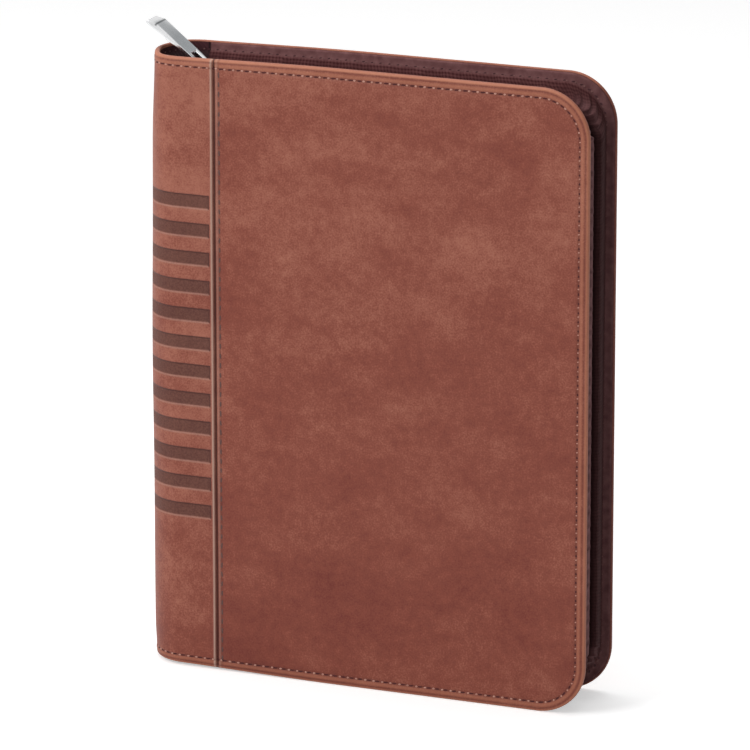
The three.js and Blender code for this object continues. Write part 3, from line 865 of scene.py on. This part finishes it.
coil_pitch = 1.45
coil_y = 1.55
turn_size = (0.00148, 0.00052, 0.00105)
for side in (-1, 1):
    line = zip_line(coil_top, coil_fore)
    lengths = line_lengths(line)
    points = []
    faces = []
    step = 0
    turns = int(lengths[-1] / coil_pitch)
    for k in range(turns):
        length = (k + 0.25 + 0.25 * side + 0.25) * coil_pitch
        while lengths[step + 1] < length and step < len(line) - 2:
            step += 1
        share = (length - lengths[step]) / (lengths[step + 1] - lengths[step])
        x = line[step][0] + (line[step + 1][0] - line[step][0]) * share
        z = line[step][1] + (line[step + 1][1] - line[step][1]) * share
        inward = Vector((line[step][2][0], 0, line[step][2][1]))
        flow = Vector((-inward.z, 0, inward.x))
        lie = Vector((0, side, 0))
        for way in (inward, -inward):
            bead(points, faces, place(x, side * coil_y, z), lie, way.cross(lie), way, turn_size)
    piece = new_piece(f"coil_{side_name(side)}", points, faces, nylon)
    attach(piece, f"{side_name(side)}_cover")
    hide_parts(f"zip_coil_{side_name(side)}")


def slab(name, outline, low, high, put, soft, material):
    """A plate: its outline drawn in two directions, its thickness in the third, its edges eased."""
    mesh = bpy.data.meshes.new(name)
    shape = bmesh.new()
    near = [shape.verts.new(put(a, b, low)) for a, b in outline]
    far = [shape.verts.new(put(a, b, high)) for a, b in outline]
    count = len(outline)
    for k in range(count):
        shape.faces.new([near[k], near[(k + 1) % count], far[(k + 1) % count], far[k]])
    shape.faces.new(near[::-1])
    shape.faces.new(far)
    bmesh.ops.recalc_face_normals(shape, faces=shape.faces)
    sharp = [edge for edge in shape.edges if edge.calc_face_angle(0) > 0.5]
    bmesh.ops.bevel(
        shape, geom=sharp, offset=soft / 1000, segments=3, profile=0.6, affect="EDGES", clamp_overlap=True
    )
    shape.to_mesh(mesh)
    shape.free()
    mesh.materials.append(material)
    mesh.polygons.foreach_set("use_smooth", [True] * len(mesh.polygons))
    mesh.set_sharp_from_angle(angle=0.6)
    piece = bpy.data.objects.new(name, mesh)
    bpy.context.collection.objects.link(piece)
    return piece


def box_outline(a0, a1, b0, b1):
    return [(a0, b0), (a1, b0), (a1, b1), (a0, b1)]


steel, wire, shader = new_finish("brushed_steel", Metallic=1.0)
where = wire.node("ShaderNodeTexCoord", {}, {}, "Object")
stretched = wire.node("ShaderNodeMapping", {}, {"Vector": where, "Scale": (1, 1, 0.04)})
brush = wire.node("ShaderNodeTexNoise", {}, {"Vector": stretched, "Scale": 2600.0, "Detail": 3.0})
wire.plug(shader.inputs["Base Color"], wire.mix(brush, tone(176, 178, 180), tone(208, 210, 212)))
wire.plug(shader.inputs["Roughness"], 0.24 + brush * 0.16)

for side in (-1, 1):
    for name, z in (("top", case_height - coil_top), ("foot", coil_top)):
        stop = slab(
            f"stop_{name}_{side_name(side)}", box_outline(15.5, 17.7, 0.6, 3.0), z - 1.1, z + 1.1,
            lambda a, b, c: place(a, side * b, c), 0.4, steel,
        )
        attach(stop, f"{side_name(side)}_cover")
        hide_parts(f"zip_stop_{name}_{side_name(side)}")


# SLIDER AND PULL TAB
# The slider is two rounded cast plates joined by a neck, with a wire bail on top. The pull is a
# long cast tab, bent at its tip, that hangs on the bail by an eye.
def tube(points, faces, path, radius, sides, tip=0.0):
    """Adds a round wire along a path, closed at both ends."""
    first = len(points)
    last_side = None
    for k, spot in enumerate(path):
        before = path[max(k - 1, 0)]
        after = path[min(k + 1, len(path) - 1)]
        flow = (after - before).normalized()
        if last_side is None:
            last_side = flow.orthogonal().normalized()
        aside = (last_side - flow * last_side.dot(flow)).normalized()
        last_side = aside
        other = flow.cross(aside)
        for n in range(sides):
            angle = 2 * math.pi * n / sides
            points.append(spot + (aside * math.cos(angle) + other * math.sin(angle)) * radius)
    for k in range(len(path) - 1):
        ring = first + k * sides
        for n in range(sides):
            m = (n + 1) % sides
            faces.append([ring + n, ring + m, ring + sides + m, ring + sides + n])
    faces.append([first + n for n in reversed(range(sides))])
    faces.append([first + (len(path) - 1) * sides + n for n in range(sides)])


chrome, wire, shader = new_finish("satin_chrome", Metallic=1.0)
where = wire.node("ShaderNodeTexCoord", {}, {}, "Object")
haze = wire.node("ShaderNodeTexNoise", {}, {"Vector": where, "Scale": 160.0, "Detail": 4.0})
wire.plug(shader.inputs["Base Color"], wire.mix(haze, tone(208, 208, 209), tone(230, 230, 230)))
wire.plug(shader.inputs["Roughness"], 0.12 + haze * 0.14)

slider_x = 21.0
coil_z = case_height - coil_top
slot_half = 1.4
slider_plate = 1.1
slider_top = coil_z + slot_half + slider_plate
bail_radius = 2.8
plate_outline = [
    (slider_x - 5, -2.4), (slider_x - 3.8, -4.0), (slider_x - 1, -4.4), (slider_x + 2.6, -4.2),
    (slider_x + 4.6, -3.0), (slider_x + 5, -1.2), (slider_x + 5, 1.2), (slider_x + 4.6, 3.0),
    (slider_x + 2.6, 4.2), (slider_x - 1, 4.4), (slider_x - 3.8, 4.0), (slider_x - 5, 2.4),
]
neck_outline = box_outline(slider_x - 4, slider_x, -0.3, 0.3)
slider_parts = [
    slab("slider_plate", plate_outline, coil_z + slot_half, slider_top, place, 0.35, chrome),
    slab(
        "slider_foot", plate_outline, coil_z - slot_half - slider_plate, coil_z - slot_half,
        place, 0.35, chrome,
    ),
    slab("slider_neck", neck_outline, coil_z - 2, coil_z + 2, place, 0.1, chrome),
]
bail_points = []
bail_faces = []
bail_path = [
    place(slider_x - bail_radius * math.cos(angle), 0, slider_top + bail_radius * math.sin(angle) - 0.1)
    for angle in spread(-0.1, math.pi + 0.1, 20)
]
tube(bail_points, bail_faces, bail_path, 0.0006, 12)
slider_parts.append(new_piece("slider_bail", bail_points, bail_faces, chrome))


def joined(name, parts):
    """One object from several, each of the same finish."""
    with bpy.context.temp_override(
        active_object=parts[0], object=parts[0], selected_objects=parts, selected_editable_objects=parts,
    ):
        bpy.ops.object.join()
    parts[0].name = name
    return parts[0]


slider = joined("slider", slider_parts)
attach(slider, "slider")
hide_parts("zip_slider")

tab_lean = math.radians(142)
tab_pivot = (slider_x, slider_top + 1.2)
tab_half_width = 4.3
tab_bend = 23.2


def on_tab(length, lift, y):
    """A point of the tab: length from its pivot, lift off its middle plane."""
    x = tab_pivot[0] + length * math.cos(tab_lean) - lift * math.sin(tab_lean)
    z = tab_pivot[1] + length * math.sin(tab_lean) + lift * math.cos(tab_lean)
    return place(x, y, z)


tab_way = (math.cos(tab_lean), 0, math.sin(tab_lean))
tab_back = (-math.sin(tab_lean), 0, math.cos(tab_lean))
origin = place(tab_pivot[0], 0, tab_pivot[1])
tab_chrome, wire, shader = new_finish("tab_chrome", Metallic=1.0)
where = wire.node("ShaderNodeTexCoord", {}, {}, "Object")
spot = wire.node("ShaderNodeVectorMath", {"operation": "SUBTRACT"}, {0: where, 1: origin}, 0)
length = wire.node("ShaderNodeVectorMath", {"operation": "DOT_PRODUCT"}, {0: spot, 1: tab_way}, "Value")
lift = wire.node("ShaderNodeVectorMath", {"operation": "DOT_PRODUCT"}, {0: spot, 1: tab_back}, "Value")
# On one face the tab is darkened along its bend: a painted dark reflection where the metal turns.
bend = 1 - wire.math("ABSOLUTE", length * 1000.0 - tab_bend, 0.0).clamped(0.15, 0.6)
bend = bend * wire.math("LESS_THAN", lift * 1000.0, 0.0)
haze = wire.node("ShaderNodeTexNoise", {}, {"Vector": where, "Scale": 160.0, "Detail": 4.0})
metal = wire.mix(haze, tone(206, 207, 208), tone(228, 228, 229))
wire.plug(shader.inputs["Base Color"], wire.mix(bend * 0.8, metal, tone(84, 86, 88)))
wire.plug(shader.inputs["Roughness"], 0.12 + haze * 0.14)
tab_outline = [
    (-0.55, -0.55), (6.9, -0.72), (23.3, -0.95), (26.9, 0.7), (27.1, 1.2),
    (26.6, 2.1), (23.5, 1.85), (6.9, 0.62), (-0.55, 0.55),
]
tab = slab("tab", tab_outline, -tab_half_width, tab_half_width, on_tab, 0.28, tab_chrome)
eye_outline = box_outline(0.55, 6.35, -2.3, 2.3)
eye = slab("tab_eye_cutter", eye_outline, -5, 5, lambda a, b, c: on_tab(a, c, b), 0.3, tab_chrome)
cut = tab.modifiers.new("eye", "BOOLEAN")
cut.object = eye
cut.operation = "DIFFERENCE"
bpy.context.view_layer.update()
cut_mesh = bpy.data.meshes.new_from_object(tab.evaluated_get(bpy.context.evaluated_depsgraph_get()))
tab.modifiers.clear()
tab.data = cut_mesh
bpy.data.objects.remove(eye)
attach(tab, "tab")
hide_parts("pull_tab")


# RING MECHANISM
# A rolled steel rail is riveted through the spine. Two sprung blades lie under its crown, each
# with six half rings of chromed wire, and a thumb lever at either end spreads them.
ring_centre_x = 18.5
ring_radius = 8.5
ring_wire = 1.0
blade_x = (8.98, 9.78)
hole_offsets = (-73, -54, -35, 35, 54, 73)
middle_z = case_height / 2
ring_foot_y = 2.9
blade_half_length = 92
lever_gap = 0.6
lever_length = 9
for side in (-1, 1):
    points = []
    faces = []
    start = math.asin(ring_foot_y / ring_radius)
    for offset in hole_offsets:
        path = [place((blade_x[0] + blade_x[1]) / 2, side * ring_foot_y, middle_z + offset)]
        for angle in spread(start, math.pi - 0.03, 30):
            path.append(place(
                ring_centre_x - ring_radius * math.cos(angle), side * ring_radius * math.sin(angle),
                middle_z + offset,
            ))
        tube(points, faces, path, ring_wire / 1000, 16)
    rings = new_piece(f"rings_{side_name(side)}", points, faces, chrome)
    blade = slab(
        f"blade_{side_name(side)}", box_outline(blade_x[0], blade_x[1], 0.15, 6.9),
        middle_z - blade_half_length, middle_z + blade_half_length,
        lambda a, b, c: place(a, side * b, c), 0.2, chrome,
    )
    half = joined(f"ring_half_{side_name(side)}_visual", [rings, blade])
    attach(half, f"{side_name(side)}_rings")
    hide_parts(f"ring_half_{side_name(side)}")

for name, way in (("top", 1), ("foot", -1)):
    first = middle_z + way * (blade_half_length + lever_gap)
    tip = first + way * lever_length
    shoulder = tip - way * 2.5
    outline = [(-6.8, first), (6.8, first), (6.8, shoulder), (4.6, tip), (-4.6, tip), (-6.8, shoulder)]
    lever = slab(
        f"lever_{name}", outline, blade_x[0], blade_x[0] + 1.2,
        lambda a, b, c: place(c, a, b), 0.35, chrome,
    )
    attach(lever, f"{name}_lever")
    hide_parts(f"ring_lever_{name}")

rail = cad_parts["ring_rail"]
rail.data.materials.clear()
rail.data.materials.append(steel)

rivet_offset = 82
for k, z in enumerate((middle_z - rivet_offset, middle_z + rivet_offset)):
    profile = [(0.4, 13.1), (1.2, 13.05), (2.1, 12.9), (2.6, 12.65), (2.8, 12.4), (2.75, 12.36)]
    profile += [(1.4, 12.36), (1.4, 1.7)]
    points = []
    faces = []
    around = 24
    for radius, x in profile:
        for n in range(around):
            angle = 2 * math.pi * n / around
            points.append(place(x, radius * math.cos(angle), z + radius * math.sin(angle)))
    for ring in range(len(profile) - 1):
        for n in range(around):
            m = (n + 1) % around
            first = ring * around
            faces.append([first + n, first + around + n, first + around + m, first + m])
    faces.append(list(range(around)))
    faces.append([(len(profile) - 1) * around + n for n in reversed(range(around))])
    rivet = new_piece(f"rivet_{k + 1}", points, faces, steel)
    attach(rivet, "spine")
    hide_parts(f"rail_rivet_{k + 1}")


# BOARDS
# Grey card stiffens the covers and the spine between leather and lining. Its edges stay clear of
# the seam round the case, and the spine's strip is curved.
card, wire, shader = new_finish("grey_card", Roughness=0.92)
where = wire.node("ShaderNodeTexCoord", {}, {}, "Object")
fibre = wire.node("ShaderNodeTexNoise", {}, {"Vector": where, "Scale": 480.0, "Detail": 5.0})
wire.plug(shader.inputs["Base Color"], wire.mix(fibre, tone(140, 128, 110), tone(176, 164, 144)))
relief = wire.node("ShaderNodeBump", {}, {"Strength": 0.2, "Distance": 0.0002, "Height": fibre})
wire.plug(shader.inputs["Normal"], relief)

board_inset = 6.2
board_depths = (1.6, 3.6)
board_corner = 13
board_near = 17.0
board_half_angle = math.radians(41)
for side in (-1, 1):
    far_x = case_width - board_inset
    far_z = case_height - board_inset
    outline = [(board_near, board_inset)]
    for centre_z, from_angle in ((board_inset + board_corner, -90), (far_z - board_corner, 0)):
        for angle in spread(math.radians(from_angle), math.radians(from_angle + 90), 10):
            outline.append((
                far_x - board_corner + board_corner * math.cos(angle),
                centre_z + board_corner * math.sin(angle),
            ))
    outline.append((board_near, far_z))
    board = slab(
        f"board_{side_name(side)}", outline,
        half_thickness - board_depths[1], half_thickness - board_depths[0],
        lambda a, b, c: place(a, side * c, b), 0.2, card,
    )
    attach(board, f"{side_name(side)}_cover")
    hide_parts(f"{side_name(side)}_board")

arc = spread(-board_half_angle, board_half_angle, 24)
outline = []
for depth, way in ((board_depths[0] + 0.6, 1), (board_depths[1], -1)):
    radius = half_thickness - depth
    for angle in arc[::way]:
        outline.append((half_thickness - radius * math.cos(angle), radius * math.sin(angle)))
board = slab("board_spine", outline, board_inset, case_height - board_inset, place, 0.2, card)
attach(board, "spine")
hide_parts("spine_board")


# PAGES
# Two blocks of ruled A5 leaves, punched with six round holes and threaded on the half rings.
# Each block is built of a few gatherings that lie a little out of line, as loose leaves do.
paper, wire, shader = new_finish("ruled_paper", Roughness=0.88)
where = wire.node("ShaderNodeTexCoord", {}, {}, "Object")
spot_x = wire.node("ShaderNodeSeparateXYZ", {}, {0: where}, "X")
spot_y = wire.node("ShaderNodeSeparateXYZ", {}, {0: where}, "Y")
spot_z = wire.node("ShaderNodeSeparateXYZ", {}, {0: where}, "Z")
normal = wire.node("ShaderNodeTexCoord", {}, {}, "Normal")
facing = wire.node("ShaderNodeSeparateXYZ", {}, {0: normal}, "Y")
flat_face = wire.math("GREATER_THAN", wire.math("ABSOLUTE", facing, 0.0), 0.9)
line_place = wire.math("PINGPONG", spot_z * 1000.0, 3.5)
ruled = wire.math("LESS_THAN", line_place, 0.12) * flat_face
ruled = ruled * wire.math("LESS_THAN", spot_z, 0.205) * wire.math("GREATER_THAN", spot_z, 0.028)
ruled = ruled * wire.math("GREATER_THAN", spot_x, (spine_x + 38) / 1000)
leaves = wire.math("SINE", spot_y * 52000.0, 0.0) * 0.5 + 0.5
cloudy = wire.node("ShaderNodeTexNoise", {}, {"Vector": where, "Scale": 90.0, "Detail": 4.0})
sheet_white = wire.mix(cloudy, tone(238, 231, 216), tone(247, 243, 231))
edge_shade = wire.mix((1 - flat_face) * leaves * 0.6, sheet_white, tone(196, 186, 168))
wire.plug(shader.inputs["Base Color"], wire.mix(ruled * 0.5, edge_shade, tone(158, 166, 178)))
wire.plug(shader.inputs["Normal"], wire.node("ShaderNodeBump", {}, {
    "Strength": 0.35, "Distance": 0.0002, "Height": leaves * (1 - flat_face) + cloudy * 0.3,
}))

page_x0 = 21.9
page_x1 = 169.9
page_height = 210
page_hang = 0.8
page_foot = middle_z - page_height / 2 - page_hang
page_radius = 8.0
hole_x = 27.3
hole_radius = 3.1
gatherings = 6
block_near = 0.15
block_thickness = 4.2


def leaf_outline(shift_x, shift_z):
    """The outline of a leaf, round at its two outer corners, moved a little out of line."""
    page_head = page_foot + page_height
    outline = [(page_x0 + shift_x, page_foot + shift_z)]
    for centre_z, from_angle in ((page_foot + page_radius, -90), (page_head - page_radius, 0)):
        for angle in spread(math.radians(from_angle), math.radians(from_angle + 90), 10):
            outline.append((
                page_x1 - page_radius + page_radius * math.cos(angle) + shift_x,
                centre_z + page_radius * math.sin(angle) + shift_z,
            ))
    outline.append((page_x0 + shift_x, page_head + shift_z))
    return outline


def gathering(name, side, near, far, shift_x, shift_z):
    """A punched stack of leaves, filled between its outline and its holes."""
    drawing = bpy.data.curves.new(name, "CURVE")
    drawing.dimensions = "2D"
    drawing.fill_mode = "BOTH"
    drawing.extrude = (far - near) / 2000
    loops = [leaf_outline(shift_x, shift_z)]
    for offset in hole_offsets:
        loops.append([
            (
                hole_x + hole_radius * math.cos(angle),
                middle_z + offset - page_hang + hole_radius * math.sin(angle),
            )
            for angle in spread(0, 2 * math.pi, 24)[:-1]
        ])
    for loop in loops:
        line = drawing.splines.new("POLY")
        line.points.add(len(loop) - 1)
        line.use_cyclic_u = True
        for spot, (x, z) in zip(line.points, loop):
            spot.co = ((spine_x + x) / 1000, z / 1000, 0, 1)
    drawn = bpy.data.objects.new(name, drawing)
    bpy.context.collection.objects.link(drawn)
    drawn.rotation_euler = (math.pi / 2, 0, 0)
    drawn.location = (0, side * (near + far) / 2000, 0)
    bpy.context.view_layer.update()
    mesh = bpy.data.meshes.new_from_object(drawn.evaluated_get(bpy.context.evaluated_depsgraph_get()))
    mesh.transform(drawn.matrix_world)
    bpy.data.objects.remove(drawn)
    mesh.materials.clear()
    mesh.materials.append(paper)
    stack = bpy.data.objects.new(name, mesh)
    bpy.context.collection.objects.link(stack)
    return stack


for side in (-1, 1):
    stacks = []
    thickness = block_thickness / gatherings
    for k in range(gatherings):
        near = block_near + k * thickness + 0.03
        stacks.append(gathering(
            f"gathering_{side_name(side)}_{k}", side, near, near + thickness - 0.06,
            random.uniform(-0.12, 0.12), random.uniform(-0.15, 0.15),
        ))
    block = joined(f"leaves_{side_name(side)}", stacks)
    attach(block, f"{side_name(side)}_page_block")
    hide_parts(f"pages_{side_name(side)}")


# POCKETS
# Thin brown leather is sewn to the linings: four stepped card pockets in front and one large
# pocket behind. Each has a turned top edge with a row of stitches under it.
pocket_leather, wire, shader = new_finish("pocket_leather", Roughness=0.55)
where = wire.node("ShaderNodeTexCoord", {}, {}, "Object")
clouds = wire.node("ShaderNodeTexNoise", {}, {"Vector": where, "Scale": 45.0, "Detail": 4.0})
grain = wire.node("ShaderNodeTexNoise", {}, {"Vector": where, "Scale": 900.0, "Detail": 3.0})
wire.plug(shader.inputs["Base Color"], wire.mix(clouds, tone(98, 54, 47), tone(128, 76, 64)))
wire.plug(shader.inputs["Roughness"], 0.45 + grain * 0.2)
relief = wire.node("ShaderNodeBump", {}, {"Strength": 0.3, "Distance": 0.0003, "Height": grain})
wire.plug(shader.inputs["Normal"], relief)

pocket_x0 = 58.0
pocket_x1 = 170.0
pocket_far = 11.1
hem_inset = 2.8
hem_pitch = 3
pocket_steps = [("card_pocket_1", -1, 22, 80)]
pocket_steps += [(f"card_pocket_{k + 2}", -1, 80.3 + 17 * k, 97 + 17 * k) for k in range(3)]
pocket_steps.append(("back_pocket", 1, 22, 218))
for node, side, z0, z1 in pocket_steps:
    xs = [pocket_x0 + d for d in (0, 0.2, 0.6, 1.4, 2.0, 2.6)] + spread(pocket_x0 + 6, pocket_x1 - 6, 12)
    xs += [pocket_x1 - d for d in (2.6, 2.0, 1.4, 0.6, 0.2, 0)]
    zs = [z0 + d for d in (0, 0.2, 0.6, 1.4, 2.0, 2.6)] + spread(z0 + 4.5, z1 - 5.5, 6)
    zs += [z1 - d for d in (4.2, 3.4, 2.8, 2.2, 1.4, 0.6, 0.2, 0)]
    points = []
    for z in zs:
        for x in xs:
            inset = min(x - pocket_x0, pocket_x1 - x, z - z0, z1 - z)
            lift = 0.8 * ease(inset, -0.1, 0.7) - 0.16 * bell(z1 - z - hem_inset, 0.4)
            lift -= 0.1 * bell(inset - 2.0, 0.4)
            points.append(place(x, side * (pocket_far - lift), z))
    across = len(xs)
    faces = []
    for row in range(len(zs) - 1):
        for k in range(across - 1):
            low = row * across + k
            square = [low, low + 1, low + across + 1, low + across]
            faces.append(square if side > 0 else square[::-1])
    pocket = new_piece(f"{node}_visual", points, faces, pocket_leather)
    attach(pocket, f"{side_name(side)}_cover")
    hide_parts(node)
    points = []
    faces = []
    count = int((pocket_x1 - pocket_x0) / hem_pitch) - 2
    for k in range(count):
        x = pocket_x0 + (k + 1.5) * hem_pitch
        centre = place(x, side * (pocket_far - 0.68), z1 - hem_inset)
        ways = [Vector(way) for way in ((side, 0, 0), (0, 0, 1), (0, -side, 0))]
        bead(points, faces, centre, *ways, (0.001, 0.0003, 0.0002))
    hem = new_piece(f"{node}_hem_stitches", points, faces, thread)
    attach(hem, f"{side_name(side)}_cover")
